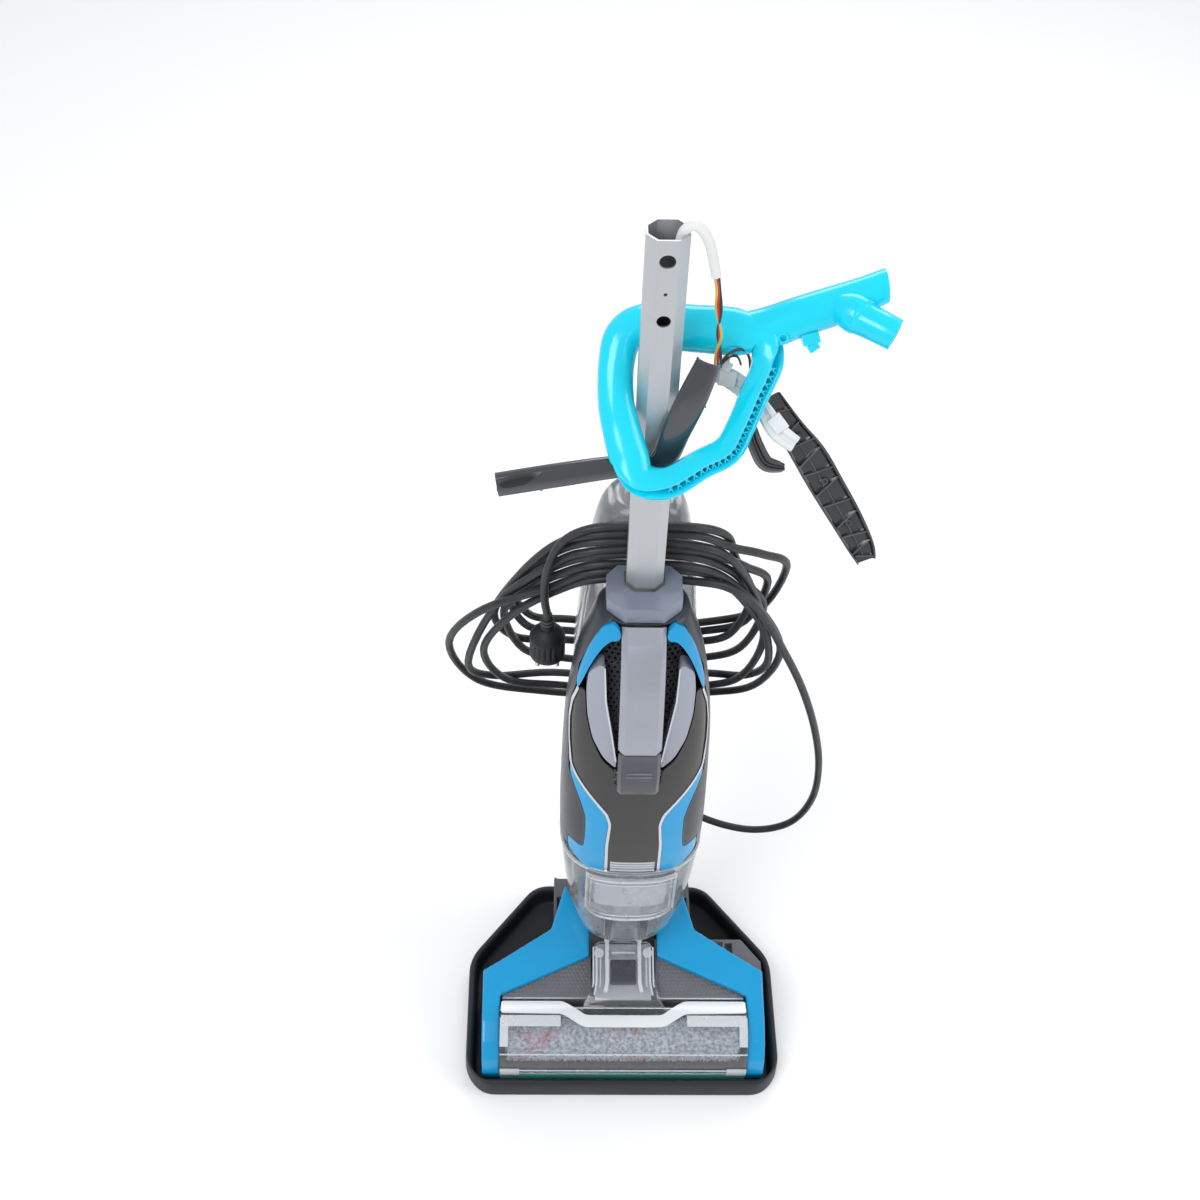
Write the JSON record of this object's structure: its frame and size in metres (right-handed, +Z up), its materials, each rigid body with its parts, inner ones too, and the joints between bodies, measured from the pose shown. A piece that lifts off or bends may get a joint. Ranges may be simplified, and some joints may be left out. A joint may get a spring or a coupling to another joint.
{
  "type": "upright wet and dry floor washer",
  "caption": "Upright floor washer with brush roll, clear nozzle, two tanks and wound mains lead, parked in its storage tray with the top handle taken apart.",
  "frame": {"origin": "centre of the storage tray's underside, on the floor", "axes": "+Z up along the tube, +X to the machine's right seen from the front, -Y the way the machine faces"},
  "size_m": [0.3996, 0.303, 1.0158],
  "materials": {
    "tray_black": "moulded",
    "rack_grey": "moulded",
    "chassis_grey": "moulded",
    "cover_grey": "dimpled",
    "cyan": "gloss",
    "bright_cyan": "gloss",
    "seal_green": "satin",
    "rubber_black": "matt",
    "steel": "plain",
    "motor_metal": "plated",
    "hose_grey": "flexible",
    "pile": "short pile",
    "clear": "clear moulded",
    "white_gloss": "gloss",
    "shell_grey": "satin",
    "silver_grey": "satin paint",
    "collar_grey": "satin",
    "mesh_black": "moulded",
    "aluminium": "satin anodised",
    "shield_black": "gloss",
    "silver_trim": "silver paint",
    "black_plastic": "gloss",
    "board_green": "solder mask",
    "float_red": "gloss",
    "white_plastic": "moulded",
    "wire": "insulation",
    "lead_black": "satin sheath"
  },
  "bodies": {
    "tray": {"tray": "tray_black", "brush_rack": "rack_grey"},
    "foot": {"foot_base": "chassis_grey", "foot_cover": "cover_grey", "arm_left": "cyan", "arm_right": "cyan", "front_seal": "seal_green", "spray_bar": "black_plastic", "squeegee": "rubber_black", "brush_motor": "motor_metal", "drive_belt": "rubber_black", "wheel_pins": "steel", "suction_hose": "hose_grey"},
    "motor_pulley": {"motor_pulley": "steel"},
    "brush": {"brush_core": "seal_green", "brush_pile": "pile"},
    "wheel_left": {"wheel_left": "rubber_black"},
    "wheel_right": {"wheel_right": "rubber_black"},
    "window": {"nozzle_window": "clear", "window_band": "white_gloss"},
    "window_latch": {"window_latch": "chassis_grey"},
    "neck": {"neck_yoke": "shell_grey"},
    "upright": {"neck_socket": "shell_grey", "rear_shell": "shell_grey", "bulkhead": "mesh_black", "vent_flanks": "silver_grey", "vent_grille": "mesh_black", "shoulder_trims": "cyan", "carry_handle": "silver_grey", "tube_collar": "collar_grey", "tube": "aluminium", "tank_seat": "shell_grey", "lower_hook": "shell_grey", "suction_motor": "motor_metal", "pump": "white_plastic", "control_board": "board_green", "handle_loop": "bright_cyan", "grip_cover_long": "black_plastic", "grip_cover_ribbed": "black_plastic", "grip_chassis": "white_plastic", "switch_bracket": "black_plastic", "wire_sleeve": "white_plastic", "wires": "wire", "cord_gland": "rubber_black", "cord_lead": "lead_black", "cord_coil": "lead_black", "cord_end": "lead_black", "plug": "rubber_black"},
    "impeller": {"impeller": "white_plastic"},
    "recovery": {"recovery_tank": "clear", "tank_shield": "shield_black", "tank_trim": "silver_trim", "tank_flanks": "cyan", "tank_lip": "clear", "tank_float": "float_red"},
    "tank_release": {"tank_release": "chassis_grey"},
    "clean_tank": {"clean_tank": "clear"},
    "tank_cap": {"tank_cap": "shell_grey"},
    "cord_hook": {"cord_hook": "shell_grey"},
    "trigger": {"trigger": "black_plastic"}
  },
  "joints": [
    {"name": "foot_lift", "type": "slide", "parent": "tray", "child": "foot", "axis": [0, 0, 1], "range_m": [0, 0.06]},
    {"name": "brush_spin", "type": "hinge", "parent": "foot", "child": "brush", "pos_m": [0, -0.1, 0.035], "axis": [1, 0, 0], "continuous": true},
    {"name": "motor_spin", "type": "hinge", "parent": "foot", "child": "motor_pulley", "pos_m": [0, -0.053, 0.038], "axis": [1, 0, 0], "continuous": true},
    {"name": "wheel_left_spin", "type": "hinge", "parent": "foot", "child": "wheel_left", "pos_m": [-0.064, 0.06, 0.0255], "axis": [1, 0, 0], "continuous": true},
    {"name": "wheel_right_spin", "type": "hinge", "parent": "foot", "child": "wheel_right", "pos_m": [0.064, 0.06, 0.0255], "axis": [1, 0, 0], "continuous": true},
    {"name": "window_lift", "type": "slide", "parent": "foot", "child": "window", "axis": [0, -0.8, 0.6], "range_m": [0, 0.04]},
    {"name": "window_latch_slide", "type": "slide", "parent": "window", "child": "window_latch", "axis": [0, 0, -1], "range_m": [0, 0.003], "stiffness_N_per_m": 300},
    {"name": "recline", "type": "hinge", "parent": "foot", "child": "neck", "pos_m": [0, 0.058, 0.064], "axis": [-1, 0, 0], "range_deg": [0, 70]},
    {"name": "swivel", "type": "hinge", "parent": "neck", "child": "upright", "pos_m": [0, 0.04, 0.115], "axis": [0, 0, 1], "range_deg": [-20, 20]},
    {"name": "impeller_spin", "type": "hinge", "parent": "upright", "child": "impeller", "pos_m": [0, 0.018, 0.455], "axis": [0, 0, 1], "continuous": true},
    {"name": "recovery_tank_pull", "type": "slide", "parent": "upright", "child": "recovery", "axis": [0, -1, 0], "range_m": [0, 0.12]},
    {"name": "tank_release_press", "type": "slide", "parent": "upright", "child": "tank_release", "axis": [0, 1, 0], "range_m": [0, 0.004], "stiffness_N_per_m": 400},
    {"name": "clean_tank_lift", "type": "slide", "parent": "upright", "child": "clean_tank", "axis": [0, 0, 1], "range_m": [0, 0.15]},
    {"name": "tank_cap_turn", "type": "hinge", "parent": "clean_tank", "child": "tank_cap", "pos_m": [0, 0.1, 0.345], "axis": [0, 0, -1], "range_deg": [0, 90]},
    {"name": "cord_hook_turn", "type": "hinge", "parent": "upright", "child": "cord_hook", "pos_m": [0, 0.052, 0.724], "axis": [0, 1, 0], "range_deg": [0, 180]},
    {"name": "trigger_pull", "type": "hinge", "parent": "upright", "child": "trigger", "pos_m": [0.076, 0.0345, 0.82067], "axis": [0, 0.788, -0.6157], "range_deg": [0, 12], "stiffness_Nm_per_rad": 0.3}
  ],
  "couplings": [
    {"joint": "motor_spin", "follows": "brush_spin", "ratio": 1.5}
  ]
}
